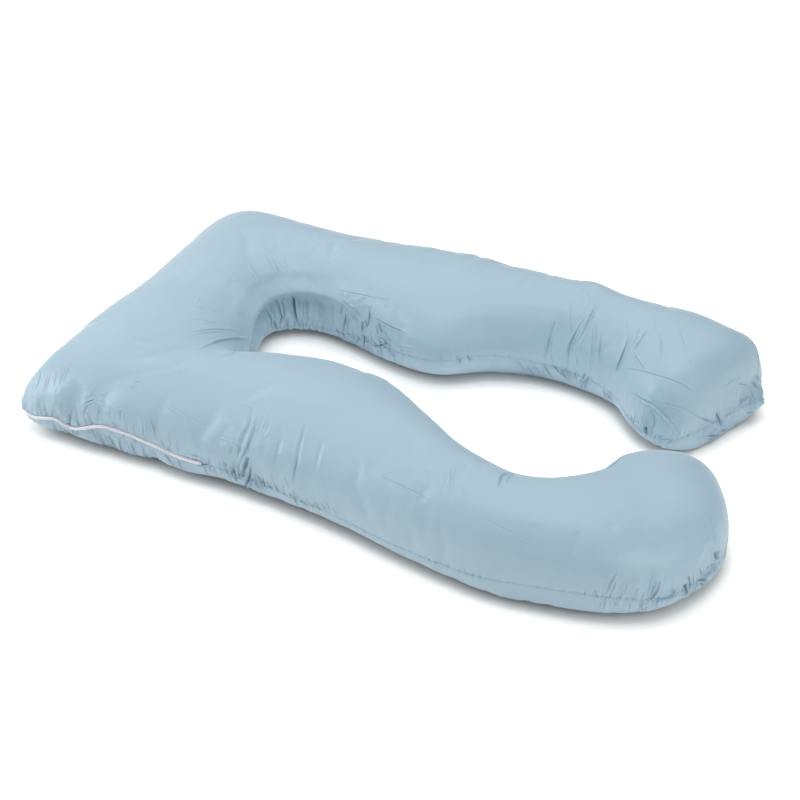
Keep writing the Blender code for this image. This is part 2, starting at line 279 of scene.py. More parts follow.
# Creases: the width and depth of each (a ridge's depth is negative), then points along it
CREASES = (
    # near side pulls
    (3.6, 1.7, (-78, -282, 156), (-66, -324, 135), (-60, -356, 75)),
    (4, 1.3, (-106, -319, 137), (-100, -346, 101)), (4, 1.2, (-31, -304, 149), (-23, -344, 110)),
    # neck rim
    (16, -4, (-368, 3, 77), (-374, 14, 100), (-381, 40, 106), (-388, 80, 101), (-377, 114, 103),
     (-352, 136, 104), (-313, 150, 105), (-275, 151, 107), (-245, 148, 105)),
    (20, -3, (-361, -43, 102), (-378, -16, 117), (-389, 18, 125), (-395, 60, 123), (-391, 105, 118)),
    (13, 3.2, (-373, 29, 83), (-383, 66, 81), (-382, 103, 76), (-359, 125, 80), (-330, 140, 80),
     (-290, 148, 78), (-249, 148, 78)),
    (14, 4, (-366, -5, 58), (-371, 30, 68), (-383, 74, 74), (-380, 106, 76), (-362, 122, 80),
     (-344, 138, 82), (-317, 146, 83), (-283, 148, 83), (-255, 147, 79)),
    (19, 11, (-364, -22, 44), (-369, 8, 58), (-372, 33, 68), (-380, 60, 72), (-384, 84, 70)),
    # neck wall pulls
    (4, -1.8, (-364, 123, 93), (-361, 122, 65), (-365, 120, 37)),
    (2.9, 1.1, (-334, 139, 84), (-333, 140, 42)), (2.9, -0.9, (-321, 144, 87), (-318, 144, 37)),
    # far leg inner corner
    (3.6, 8.1, (397, 109, 56), (402, 106, 44)),
    (1.6, -1.6, (382, 116, 82), (389, 108, 70), (395, 107, 54)),
    (1.6, -1.7, (397, 112, 100), (405, 107, 86), (410, 104, 70), (413, 106, 54)),
    (1.5, 1.9, (402, 111, 96), (413, 105, 84), (419, 102, 61)),
    (1.5, 2, (354, 135, 50), (379, 112, 59), (392, 106, 55)),
    (1.4, -1.2, (358, 132, 44), (380, 114, 49), (391, 108, 48)),
    (1.4, 1.2, (390, 110, 89), (397, 106, 73), (399, 109, 56)),
    (1.5, 1.6, (411, 105, 49), (428, 102, 49), (445, 109, 44)),
    (1.4, -1, (429, 112, 101), (431, 108, 82), (435, 103, 62)),
    (1.5, 1.4, (406, 105, 41), (415, 103, 39), (418, 104, 48)),
    (1.5, -1, (441, 115, 101), (444, 112, 72)),
    # far leg end pulls
    (4, 3.1, (501, 328, 145), (522, 324, 121), (532, 316, 91)), (7, 1.2, (506, 219, 103), (518, 254, 98)),
    # near leg inside
    (2.3, 3.2, (293, -242, 157), (291, -265, 167), (295, -286, 169), (302, -305, 169)),
    (2.2, -1.6, (298, -238, 156), (300, -269, 167), (305, -291, 170)),
    (4, 5.1, (431, -75, 132), (428, -100, 135), (429, -143, 149)),
    # under the zip
    (2.3, 3.4, (-555, -374, 46), (-561, -362, 22), (-564, -356, 10)),
    (2.3, -3.1, (-541, -368, 39), (-540, -362, 27), (-540, -359, 21)),
    (2.5, 4.1, (-515, -373, 45), (-509, -370, 34), (-506, -368, 28)),
    (2.3, 3.8, (-466, -365, 62), (-459, -349, 24), (-456, -341, 5)),
    (2.2, -3.1, (-453, -365, 61), (-453, -343, 20), (-453, -332, 0)),
    (2.5, 4.5, (-443, -362, 55), (-436, -346, 25), (-432, -338, 10)),
    (2.3, 4.1, (-420, -360, 55), (-423, -345, 25), (-424, -338, 10)),
    (2.2, -2.8, (-408, -359, 54), (-405, -344, 26), (-404, -336, 12)),
    (2.5, 4.5, (-396, -359, 53), (-392, -344, 28), (-390, -336, 16)),
    (2.3, 3.8, (-372, -358, 53), (-373, -339, 24), (-374, -330, 10)),
    (2.2, -2.8, (-360, -357, 53), (-356, -347, 34), (-354, -342, 24)),
    (2.5, 3.8, (-349, -356, 51), (-348, -344, 30), (-348, -338, 20)),
    (2.3, 3.4, (-326, -355, 53), (-310, -351, 35), (-302, -349, 26)),
    (2.5, 3.8, (-298, -355, 49), (-290, -348, 31), (-286, -344, 22)),
    # far leg
    (2.2, 2.1, (163, 229, 143), (160, 220, 121), (158, 213, 102), (157, 208, 82), (157, 205, 65)),
    (1.7, -1.1, (160, 221, 124), (162, 213, 96), (167, 207, 72)),
    (1.5, 1.4, (167, 210, 83), (173, 207, 62)),
    (1.7, 1.4, (174, 266, 169), (189, 238, 150), (199, 221, 128)),
    (1.5, -1, (196, 232, 145), (203, 218, 122)),
    (2.1, 2.5, (222, 252, 164), (218, 243, 159), (213, 234, 149), (208, 224, 136), (204, 218, 122),
     (200, 214, 108), (200, 210, 88), (203, 205, 66)),
    (1.9, -1.6, (220, 251, 164), (215, 237, 152), (208, 222, 132), (204, 215, 113), (202, 211, 97),
     (204, 208, 79)),
    (1.8, 1.9, (224, 277, 172), (224, 250, 163), (222, 236, 153), (221, 225, 139), (218, 218, 126),
     (214, 214, 114)), (1.7, -1.2, (227, 265, 170), (226, 239, 156), (224, 226, 142)),
    (2, 0.9, (198, 275, 171), (215, 237, 152)),
    (1.5, -0.9, (220, 221, 132), (230, 213, 116), (235, 207, 99), (237, 203, 79)),
    (1.5, 1.1, (218, 215, 117), (224, 211, 106), (233, 206, 94)),
    (1.5, 1.1, (213, 211, 102), (219, 207, 88), (224, 204, 70)),
    (1.5, -0.9, (210, 211, 99), (218, 205, 78)),
    (1.5, 1.2, (229, 247, 162), (238, 227, 145), (244, 213, 122), (249, 203, 92)),
    (1.5, -1, (234, 244, 161), (244, 222, 139), (249, 208, 112), (254, 200, 82)),
    (1.5, 0.9, (237, 249, 163), (246, 224, 143), (253, 209, 117)),
    (1.5, 1.5, (256, 227, 149), (259, 215, 133), (262, 207, 116), (266, 200, 97)),
    (1.5, -0.9, (261, 221, 143), (265, 208, 121), (270, 198, 92)),
    (1.5, -0.9, (242, 208, 107), (248, 201, 83), (243, 201, 62)),
    (1.7, 0.9, (191, 314, 172), (210, 274, 172), (218, 256, 166)),
    (1.8, 0.8, (180, 311, 172), (200, 262, 168)),
    (2, 2.8, (311, 222, 161), (312, 210, 146), (310, 200, 131), (308, 193, 117), (306, 190, 103),
     (305, 186, 92)), (1.8, -1.5, (316, 218, 160), (317, 205, 146), (315, 195, 131), (311, 189, 112)),
    (1.9, 1.8, (324, 234, 171), (327, 217, 164), (327, 206, 156)),
    (1.7, -1.2, (331, 228, 170), (333, 209, 162), (329, 201, 153), (326, 195, 146)),
    (1.7, 2, (338, 234, 174), (338, 214, 167), (335, 200, 157), (332, 190, 147)),
    (1.5, -0.9, (341, 233, 175), (341, 212, 167)),
    (1.5, 1.5, (333, 190, 147), (344, 179, 147), (357, 168, 144), (372, 154, 142)),
    (1.5, -1, (336, 190, 149), (350, 176, 148), (368, 160, 145)),
    (1.5, 1.2, (329, 189, 142), (341, 177, 142), (350, 167, 138), (357, 159, 134)),
    (1.7, 0.8, (287, 253, 172), (298, 238, 167), (306, 224, 160)),
    (1.8, -0.8, (335, 271, 179), (349, 246, 178), (361, 226, 176)),
    (1.7, 1.4, (361, 235, 178), (375, 213, 173), (384, 193, 169), (390, 173, 162)),
    (1.4, -1, (381, 207, 172), (390, 182, 166), (393, 170, 162)),
    (1.7, -0.9, (384, 260, 181), (400, 241, 179), (411, 225, 178), (426, 205, 176)),
    (1.7, -0.8, (436, 194, 174), (447, 177, 164)), (1.7, -0.8, (392, 225, 178), (393, 206, 175)),
    # far leg end
    (1.8, 1.5, (311, 187, 104), (350, 163, 132), (377, 151, 142), (403, 143, 148), (425, 142, 148),
     (445, 144, 143), (460, 147, 135), (468, 151, 126)),
    (1.8, 2.1, (344, 147, 92), (375, 128, 102), (403, 113, 107), (426, 111, 97), (444, 113, 79),
     (456, 117, 60), (461, 123, 42)),
    (1.7, -1.9, (353, 139, 92), (376, 126, 99), (401, 113, 102), (423, 109, 93), (441, 111, 74),
     (453, 114, 56)),
    (1.5, 1, (418, 113, 114), (441, 118, 112), (465, 133, 101), (481, 155, 77), (498, 199, 41)),
    # far leg end seam
    (1.7, 6.2, (498, 196, 66), (502, 208, 43), (505, 216, 19)),
    (1.7, 5.8, (493, 182, 23), (498, 196, 15), (503, 210, 11)),
    (1.5, 4.8, (512, 234, 7), (508, 222, 14), (504, 213, 16)),
    (1.5, 2.6, (484, 160, 73), (492, 182, 54), (498, 199, 41)),
    (1.7, -2.9, (489, 173, 21), (496, 190, 24), (502, 205, 26)),
    (1.8, 5.3, (504, 211, 22), (500, 202, 10), (493, 182, 10)),
    (1.5, -2.4, (504, 212, 58), (507, 218, 34), (509, 225, 14)),
    (1.5, 3.8, (519, 252, 9), (525, 265, 13)),
    # far leg tip
    (1.7, 5.8, (530, 300, 79), (541, 306, 65)),
    (1.7, -3.4, (517, 251, 101), (523, 268, 89), (529, 289, 72)),
    (1.7, 3.8, (530, 309, 88), (535, 324, 69)),
    (1.8, 4.8, (532, 273, 28), (538, 285, 25), (545, 292, 26)),
    (1.5, -2.9, (535, 274, 35), (546, 287, 34)),
    (2, -3.4, (528, 266, 55), (532, 276, 58), (535, 283, 60)),
    (2, 3.4, (523, 258, 55), (525, 266, 59), (528, 275, 63)),
    (1.8, -2.9, (538, 279, 46), (542, 285, 53), (545, 293, 58)),
    (1.8, 3.4, (531, 291, 70), (536, 285, 60)),
    (2.4, 4.8, (541, 313, 62), (551, 299, 56), (553, 293, 40)),
    (1.7, -2.4, (501, 210, 113), (510, 236, 114), (518, 260, 110)),
    (2, -1.9, (499, 198, 80), (501, 203, 55)),
    # near head corner
    (1.8, -1.2, (-556, -306, 138), (-552, -325, 131), (-547, -343, 124)),
    (1.7, -0.9, (-569, -310, 134), (-563, -330, 128), (-550, -351, 117)),
    (1.8, -0.9, (-575, -325, 128), (-560, -357, 111)),
    (1.9, -0.9, (-589, -328, 123), (-585, -347, 111), (-582, -362, 98)),
    (2.2, 1.1, (-606, -326, 116), (-599, -346, 108), (-600, -363, 92)),
    (1.8, 1, (-558, -314, 135), (-554, -334, 127), (-549, -348, 120)),
    (1.8, 0.9, (-581, -328, 125), (-577, -349, 111), (-572, -363, 99)),
    (2, -0.9, (-608, -340, 108), (-609, -354, 94), (-603, -367, 85)),
    # head end
    (1.4, 2, (-492, -359, 102), (-483, -355, 109), (-475, -351, 113)),
    (1.3, -1.1, (-488, -360, 100), (-477, -354, 108)), (1.4, 1.1, (-483, -349, 114), (-481, -342, 120)),
    (1.3, 1, (-468, -344, 118), (-454, -335, 126)),
    (1.3, 1.2, (-422, -318, 137), (-414, -318, 137), (-407, -315, 139)),
    (1.3, -0.9, (-422, -315, 138), (-407, -307, 142)), (1.3, 1.1, (-416, -308, 141), (-407, -301, 144)),
    # ironed folds
    (1.4, -0.9, (-360, -323, 133), (-330, -326, 128), (-302, -329, 124), (-273, -332, 118),
     (-248, -335, 112)), (1.4, -1.2, (-220, -338, 109), (-195, -339, 111), (-174, -339, 110)),
    (1.3, -0.8, (-472, -353, 109), (-455, -352, 109), (-437, -353, 109)),
    (1.3, -0.6, (-436, -354, 109), (-417, -351, 110), (-396, -346, 113)),
    (1.4, 0.9, (-219, -287, 150), (-200, -284, 151), (-178, -282, 152)),
    (1.4, 0.9, (96, -335, 141), (144, -344, 142), (179, -350, 142), (197, -355, 141), (212, -357, 142)),
    (1.4, 0.6, (301, -362, 148), (342, -366, 142), (369, -365, 139), (401, -365, 129)),
    (1.4, 0.9, (-264, 156, 120), (-231, 152, 126), (-203, 148, 132), (-166, 146, 137), (-130, 149, 143)),
    # above the zip
    (2, 1.8, (-485, -359, 103), (-487, -364, 94), (-489, -369, 81)),
    (1.7, 1.6, (-462, -355, 103), (-456, -361, 89)), (1.7, -1.1, (-465, -358, 100), (-464, -364, 86)),
    (1.7, 1.4, (-574, -379, 68), (-568, -377, 75)), (1.7, 1.4, (-552, -376, 82), (-554, -374, 62)),
    (1.5, -1, (-532, -373, 82), (-521, -372, 72)), (1.8, 1.2, (-417, -350, 111), (-415, -360, 91)),
    (1.5, -1, (-412, -351, 110), (-411, -359, 92)), (1.5, 1.4, (-370, -353, 97), (-367, -358, 72)),
    (1.5, 1.1, (-363, -349, 105), (-362, -356, 86)),
    (1.5, 1.4, (-360, -344, 111), (-350, -351, 93), (-340, -358, 72)),
    (1.5, 1.1, (-346, -351, 92), (-336, -357, 73)), (1.7, 1, (-389, -357, 92), (-386, -358, 72)),
    (1.5, -1, (-355, -346, 106), (-344, -352, 87)), (1.7, 1.1, (-317, -350, 95), (-310, -356, 71)),
    (1.7, 1, (-299, -353, 86), (-296, -357, 67)), (1.7, 1.2, (-334, -355, 79), (-321, -354, 60)),
    # zip end
    (1.7, -3.4, (-283, -355, 62), (-261, -355, 63), (-237, -355, 64)),
    (1.3, 6.1, (-257, -354, 50), (-246, -355, 54), (-234, -354, 59)),
    # near side
    (3.7, 3, (-186, -270, 154), (-182, -290, 149), (-174, -314, 137), (-176, -329, 123),
     (-177, -342, 107), (-177, -349, 90)),
    (2.2, -2, (-172, -283, 152), (-165, -317, 136), (-166, -334, 118), (-169, -345, 101),
     (-176, -349, 80)),
    (1.7, 1.8, (-162, -309, 141), (-159, -327, 127), (-162, -339, 112), (-165, -348, 98),
     (-173, -350, 75)), (1.7, -1.2, (-158, -337, 117), (-163, -345, 101), (-170, -349, 79)),
    (2.6, 1.2, (-147, -282, 154), (-139, -307, 143), (-139, -325, 131)),
    (1.8, -1, (-153, -281, 154), (-148, -308, 142), (-147, -321, 134)),
    (2.4, 2, (-175, -341, 108), (-177, -349, 92)), (2.6, 1.5, (-190, -343, 105), (-193, -350, 89)),
    # near side gathers
    (2.9, 7.8, (-157, -348, 96), (-162, -350, 72), (-166, -351, 52)),
    (2.1, 6.1, (-151, -348, 79), (-151, -352, 64), (-155, -353, 48), (-170, -339, 20)),
    (1.8, -3.7, (-144, -350, 69), (-151, -352, 49), (-165, -342, 23)),
    (1.8, -3.6, (-196, -353, 74), (-192, -352, 55), (-187, -352, 40)),
    (1.8, -3.1, (-180, -350, 77), (-178, -351, 63), (-174, -352, 47)),
    (1.8, 3.1, (-199, -354, 75), (-198, -354, 51)),
    (2.1, 4.1, (-187, -352, 68), (-183, -350, 51), (-181, -350, 36)),
    (1.7, -2.7, (-169, -349, 78), (-171, -351, 60)),
    (1.8, -3.4, (-142, -350, 69), (-135, -350, 55), (-129, -351, 35)),
    (2.9, 3.1, (-140, -350, 54), (-137, -351, 36)), (1.7, -2.5, (-120, -351, 63), (-107, -353, 45)),
    (1.7, 2.9, (-129, -350, 58), (-117, -352, 44)), (1.7, -1.9, (-228, -353, 56), (-221, -352, 36)),
    (1.7, 1.9, (-210, -355, 74), (-209, -355, 42)), (1.7, 2.2, (-180, -351, 46), (-165, -352, 49)),
    (1.5, -1.7, (-205, -356, 71), (-202, -355, 48)), (1.7, 2.2, (-242, -355, 51), (-242, -342, 24)),
    (1.7, 2, (-103, -352, 65), (-89, -355, 45)),
    # near side seam
    (1.5, 1.2, (-68, -326, 131), (-64, -341, 115), (-62, -349, 99), (-62, -354, 83)),
    (1.5, -0.8, (-65, -327, 131), (-60, -344, 109), (-58, -353, 86)),
    (1.5, 2.5, (-69, -356, 60), (-63, -356, 44)),
    (1.5, 2.5, (-60, -357, 68), (-59, -356, 50), (-56, -354, 33), (-52, -354, 32)),
    (1.4, -1.6, (-56, -358, 62), (-54, -357, 40)), (1.5, -1.5, (-46, -356, 52), (-32, -357, 38)),
    (1.5, 1.5, (-49, -357, 55), (-38, -357, 37)), (1.5, -1.6, (-20, -359, 63), (-16, -357, 44)),
    (1.5, 1.6, (-14, -359, 63), (-7, -358, 41)), (1.5, -1.5, (-36, -358, 61), (-24, -357, 43)),
    (1.5, 1.5, (-4, -359, 63), (7, -359, 45)), (1.5, -1.4, (2, -359, 69), (14, -360, 51)),
    (1.5, 1.4, (19, -361, 64), (30, -361, 47)),
    (2, 1.2, (-78, -282, 156), (-70, -313, 141), (-70, -327, 131)),
    (1.8, -0.9, (-72, -284, 155), (-66, -309, 144)), (1.7, 1.1, (-79, -352, 86), (-69, -356, 67)),
    # near leg end
    (1.9, -1.7, (531, -339, 105), (527, -347, 90), (523, -352, 75), (517, -353, 59)),
    (1.8, 1.4, (528, -340, 106), (523, -349, 92), (519, -354, 75)),
    (1.7, -1.2, (540, -339, 87), (535, -344, 59)),
    (1.7, 1.2, (531, -344, 92), (527, -350, 74), (524, -350, 59)),
    (1.7, 1.4, (545, -335, 89), (544, -339, 67)),
    (1.8, -1.7, (565, -323, 79), (560, -330, 65), (554, -333, 56)),
    (1.7, 1.5, (560, -328, 81), (554, -333, 64)),
    (2, -1.4, (578, -305, 92), (578, -313, 70), (575, -316, 52)),
    (2, 3.4, (588, -300, 88), (590, -306, 74), (585, -311, 61), (579, -314, 50)),
    (1.8, -1.8, (586, -305, 82), (582, -312, 65), (576, -315, 54)),
    (2, 11.8, (620, -265, 63), (622, -261, 45), (619, -262, 35)),
    (1.7, -3.9, (623, -255, 50), (623, -255, 35)), (1.8, 5.9, (622, -257, 75), (624, -252, 50)),
    (1.7, 3.4, (630, -230, 76), (634, -222, 53)),
    (1.5, 6.7, (629, -236, 53), (635, -221, 49), (642, -209, 39)),
    (1.5, 4.8, (633, -230, 46), (640, -209, 32)),
    (1.7, 6.2, (631, -233, 48), (629, -244, 38), (625, -249, 34)),
    (1.5, 2.8, (571, -319, 52), (586, -310, 54), (601, -291, 48), (610, -277, 47)),
    (1.4, -2.4, (579, -314, 49), (593, -304, 49), (606, -285, 45), (615, -272, 43)),
    (1.5, 2.4, (567, -325, 47), (572, -315, 33), (580, -315, 43)),
    (1.4, -2, (571, -321, 47), (580, -314, 47)),
    (2, 6.2, (640, -192, 86), (643, -190, 71), (645, -186, 54)),
    (1.5, 6.7, (644, -181, 81), (646, -186, 63)), (1.5, -3.9, (642, -187, 81), (645, -187, 66)),
    (1.4, -2.5, (629, -178, 114), (637, -185, 101)),
    (1.4, -2.2, (612, -154, 133), (621, -164, 124), (628, -171, 117)),
    (1.5, 1.8, (502, -360, 75), (506, -357, 60)), (1.7, 3.6, (609, -279, 61), (607, -283, 46)),
    (1.5, -2.8, (626, -248, 63), (626, -251, 46)), (1.7, 3.9, (638, -207, 64), (638, -215, 47)),
    (1.5, -1.5, (515, -355, 53), (512, -352, 39)), (1.5, -1.4, (526, -350, 56), (529, -346, 41)),
    (1.5, 1.7, (552, -335, 53), (554, -329, 36)), (1.5, 1.5, (588, -309, 45), (591, -300, 32)),
    (1.5, 3.4, (642, -195, 49), (641, -211, 43)),
    # neck fan
    (1.5, 1.5, (-447, 78, 152), (-424, 66, 146), (-404, 59, 135)),
    (1.5, -1, (-455, 76, 153), (-429, 60, 148), (-403, 49, 136)),
    (1.7, -1.1, (-442, 118, 151), (-422, 107, 144), (-405, 100, 132)),
    (1.5, 0.9, (-426, 101, 146), (-410, 98, 136)), (1.5, 0.9, (-408, 101, 134), (-394, 97, 119)),
    (1.7, -1.2, (-438, 163, 154), (-411, 144, 148), (-392, 134, 138), (-376, 131, 127)),
    (1.5, 1, (-435, 166, 154), (-409, 151, 149)), (1.5, 1.1, (-404, 151, 147), (-382, 140, 137)),
    (1.5, -0.9, (-413, 159, 150), (-395, 143, 144), (-382, 137, 136)),
    (1.5, 1, (-407, 191, 152), (-393, 175, 148), (-374, 155, 140)),
    (1.5, -1, (-404, 172, 149), (-387, 158, 145), (-372, 149, 137)),
    (1.4, 0.6, (-356, 157, 136), (-349, 145, 122)), (1.3, 1.1, (-446, -57, 156), (-449, -34, 156)),
    (1.5, -0.9, (-459, -74, 157), (-440, -63, 156), (-423, -56, 151), (-404, -41, 142)),
    (1.5, 0.9, (-436, -65, 155), (-416, -53, 149), (-391, -41, 136)),
    (1.4, -1, (-406, -96, 148), (-401, -86, 146), (-396, -74, 143)),
    (1.4, 1, (-430, -106, 154), (-409, -87, 148), (-395, -79, 143), (-385, -67, 136)),
    (2, 1.9, (-407, -135, 149), (-394, -111, 145), (-385, -92, 138), (-374, -71, 128), (-365, -39, 106)),
    (1.7, -1.1, (-409, -145, 150), (-399, -130, 147), (-383, -99, 138), (-369, -66, 121)),
    (2.2, -2.2, (-370, -156, 145), (-370, -126, 136), (-366, -106, 130), (-362, -78, 119),
     (-359, -49, 103), (-364, -13, 80)),
    (2, 2.5, (-366, -181, 150), (-364, -152, 143), (-364, -118, 132), (-360, -95, 124), (-356, -68, 111),
     (-361, -20, 80)),
    (2.2, 1.8, (-305, -198, 158), (-305, -176, 155), (-301, -158, 154), (-340, -70, 92), (-353, -30, 65)),
    (1.9, -1.1, (-313, -186, 156), (-309, -159, 153), (-342, -73, 97)),
    # neck wall
    (1.5, 2.5, (-382, 55, 76), (-382, 55, 51), (-381, 61, 27)),
    (1.5, -2.1, (-382, 61, 70), (-383, 72, 36)),
    (1.5, 2.1, (-383, 68, 85), (-384, 86, 51), (-383, 93, 26)),
    (1.5, 5.5, (-385, 96, 72), (-384, 97, 53), (-382, 99, 29)),
    (1.5, 2.5, (-386, 92, 92), (-386, 94, 73)),
    (1.8, 4.2, (-381, 103, 49), (-377, 107, 31), (-377, 106, 20)),
    (1.5, 3.4, (-379, 109, 95), (-376, 112, 82), (-374, 113, 66)),
    (1.4, 4.2, (-374, 114, 86), (-372, 116, 65), (-369, 117, 49), (-371, 115, 39), (-374, 111, 32)),
    (1.5, -2.5, (-382, 104, 87), (-379, 106, 63), (-377, 109, 44)),
    (1.5, -2.1, (-365, 121, 87), (-363, 121, 60), (-365, 120, 37)),
    (1.5, 2.1, (-367, 121, 97), (-367, 120, 85)),
    (1.8, 8.5, (-353, 134, 96), (-351, 135, 76), (-348, 135, 54), (-343, 134, 29)),
    (1.5, -2.5, (-341, 137, 44), (-336, 135, 23)),
    (1.7, -2.1, (-357, 130, 87), (-354, 130, 58), (-350, 131, 35)),
    (1.7, 1.7, (-277, 149, 98), (-271, 146, 67), (-268, 147, 37)),
    (1.5, 2.9, (-263, 147, 37), (-258, 145, 25)), (1.7, 1.5, (-330, 140, 83), (-327, 140, 46)),
    (1.7, 1.5, (-306, 150, 82), (-302, 149, 40)),
    # inside crumple
    (1.7, 2.2, (-244, 147, 101), (-251, 148, 84), (-253, 146, 71)),
    (1.5, 3.2, (-238, 146, 87), (-242, 147, 64), (-246, 145, 46), (-247, 144, 27)),
    (1.5, -1.9, (-231, 142, 90), (-239, 147, 65), (-241, 145, 44)),
    (1.5, 4.1, (-245, 145, 33), (-239, 145, 19)),
    (1.7, -2.5, (-257, 149, 105), (-244, 147, 102), (-231, 143, 97), (-221, 139, 90)),
    (1.4, 1.9, (-247, 149, 107), (-235, 145, 103)), (1.4, -2, (-230, 144, 105), (-217, 141, 105)),
    (1.5, 2.7, (-219, 141, 103), (-210, 137, 98), (-201, 135, 94)),
    (1.4, -1.9, (-223, 140, 96), (-215, 138, 87), (-207, 136, 82)),
    (1.4, 1.7, (-227, 141, 90), (-218, 138, 81), (-212, 136, 77)),
    (2.1, 6.1, (-195, 134, 84), (-198, 134, 60)), (1.5, 4.4, (-187, 130, 91), (-183, 129, 77)),
    (1.5, 3.1, (-182, 134, 117), (-179, 128, 99), (-181, 127, 81)),
    (1.5, -2, (-179, 132, 113), (-171, 128, 107), (-162, 125, 107)),
    (1.4, 2.5, (-173, 128, 106), (-154, 122, 106), (-134, 117, 105), (-110, 112, 105), (-84, 107, 104)),
    (1.4, -1.5, (-156, 122, 102), (-133, 116, 102), (-109, 111, 102)),
    (1.5, 3.1, (-154, 121, 102), (-150, 119, 91), (-144, 117, 83)),
    (1.5, -2.5, (-150, 120, 101), (-140, 116, 87), (-132, 114, 78), (-120, 110, 71)),
    (1.5, -2.5, (-190, 133, 74), (-172, 123, 70), (-159, 119, 67), (-147, 117, 65), (-134, 116, 65)),
    (1.4, 1.9, (-160, 121, 93), (-154, 118, 77)),
    (2, 9.5, (-193, 133, 53), (-190, 130, 37), (-189, 135, 18)),
    (1.5, 4.6, (-176, 125, 40), (-158, 120, 47), (-142, 116, 58), (-131, 115, 65)),
    (1.5, -2.4, (-178, 125, 38), (-171, 127, 24)),
    (1.4, 2.7, (-134, 115, 79), (-119, 109, 76), (-108, 106, 73)),
    (1.4, -2, (-126, 111, 86), (-114, 108, 80), (-100, 104, 74)),
    (1.5, -2.5, (-139, 116, 59), (-128, 113, 51), (-119, 110, 42), (-115, 117, 25)),
    (1.4, 1.9, (-118, 112, 53), (-111, 108, 41)), (1.4, 2, (-230, 144, 18), (-207, 134, 34)),
    (1.4, -1.7, (-202, 133, 57), (-191, 133, 53)),
    (1.4, 2, (-145, 117, 76), (-137, 116, 64), (-129, 115, 57)),
    (1.4, -1.4, (-104, 105, 80), (-83, 102, 84), (-63, 100, 89)),
    (1.4, 1.5, (-107, 107, 59), (-85, 102, 72), (-64, 98, 77)),
    # far leg inside seam
    (1.5, -2.4, (102, 191, 60), (109, 194, 47), (114, 206, 23)),
    (1.5, -2.2, (111, 194, 54), (121, 214, 15)), (1.5, -2.9, (126, 199, 55), (135, 215, 17)),
    (1.5, 2.4, (121, 197, 53), (128, 212, 19)),
    (1.5, -3.1, (131, 200, 51), (144, 206, 35), (143, 222, 12)),
    (1.5, 2.6, (140, 202, 47), (145, 212, 25)),
    (1.5, 3.6, (153, 206, 57), (162, 207, 40), (168, 216, 21)),
    (1.4, -2.4, (150, 205, 56), (158, 207, 39), (162, 219, 17)),
    (1.5, 3.6, (169, 207, 62), (184, 207, 48), (196, 208, 37)),
    (1.4, -2.6, (175, 207, 62), (191, 207, 49)),
    (1.5, -3.6, (188, 207, 61), (199, 206, 46), (207, 211, 27)),
    (1.5, 3.6, (183, 208, 57), (201, 210, 31)),
    (1.5, 2.9, (196, 206, 65), (203, 207, 52), (210, 208, 34)),
    (1.9, -4.8, (244, 201, 64), (235, 203, 46), (227, 212, 22)),
    (1.7, 3.1, (249, 200, 62), (241, 202, 45), (235, 210, 24)),
    (1.5, 3.1, (280, 193, 45), (289, 195, 26)), (1.5, 2.9, (295, 188, 47), (304, 184, 34)),
    (1.5, -2.4, (287, 191, 46), (297, 190, 30)), (1.5, -2.2, (-15, 104, 88), (-12, 106, 66)),
    (1.5, -2.4, (13, 124, 85), (16, 128, 59)), (1.4, -2.6, (17, 130, 75), (19, 131, 58)),
    (1.4, 2.9, (28, 140, 80), (30, 143, 59)), (1.4, -2.9, (30, 144, 76), (34, 147, 60)),
    (1.5, 2.4, (219, 205, 61), (215, 206, 38)),
    # near leg
    (1.5, 1.1, (206, -283, 169), (216, -307, 167), (226, -330, 161), (235, -350, 152)),
    (1.5, 1, (205, -296, 168), (212, -321, 164), (216, -338, 157), (220, -350, 150)),
    (1.5, -0.9, (199, -295, 168), (205, -322, 163)), (1.5, 0.8, (244, -319, 166), (255, -339, 160)),
    (1.5, 0.8, (255, -322, 166), (267, -353, 153)),
    (1.5, -0.8, (210, -286, 169), (224, -317, 166), (232, -338, 159)),
)


def curve_through(points, closed=False, step=3.0):
    """A smooth curve through given points in millimetres, as close points in metres."""
    p = np.array(points, float)
    ends = (p[-1:], p[:2]) if closed else (2 * p[:1] - p[1:2], 2 * p[-1:] - p[-2:-1])
    p = np.vstack([ends[0], p, ends[1]])
    out = []
    for a, b, c, d in zip(p, p[1:], p[2:], p[3:]):
        t = np.linspace(0, 1, max(2, int(np.linalg.norm(c - b) / step) + 1), endpoint=False)[:, None]
        out.append(0.5 * (2 * b + (c - a) * t + (2 * a - 5 * b + 4 * c - d) * t ** 2
                          + (3 * b - a - 3 * c + d) * t ** 3))
    return np.vstack(out + ([] if closed else [p[-2:-1]])) * MM


def read_points(mesh, normals=False):
    """A mesh's points, or the normals at them, as rows of three."""
    flat = np.empty(len(mesh.vertices) * 3)
    (mesh.vertex_normals if normals else mesh.vertices).foreach_get("vector" if normals else "co", flat)
    return flat.reshape(-1, 3)


def write_points(mesh, co):
    mesh.vertices.foreach_set("co", co.ravel())
    mesh.update()


def skin_of(mesh):
    """A mesh's surface, to find the nearest place on it."""
    return BVHTree.FromPolygons(read_points(mesh).tolist(), [face.vertices[:] for face in mesh.polygons])


def nearest_on(line, co, reach):
    """How far each point is from a line, and the line's nearest point; infinity past the reach."""
    tree = KDTree(len(line))
    for i, p in enumerate(line):
        tree.insert(p, i)
    tree.balance()
    low, high = line.min(0) - reach, line.max(0) + reach
    away, index = np.full(len(co), np.inf), np.zeros(len(co), int)
    for i in np.nonzero(((co > low) & (co < high)).all(1))[0]:
        _, near, gap = tree.find(co[i])
        if gap < reach:
            away[i], index[i] = gap, near
    return away, index


def gathered(co):
    """How strongly the cover is gathered at each point, from 0 to 1."""
    share = np.zeros(len(co))
    for place, x, y, z, reach, part in GATHERS:
        off = np.linalg.norm(co / MM - (x, y, z), axis=1)
        share = np.maximum(share, part * np.exp(-(off / reach) ** 2))
    return share


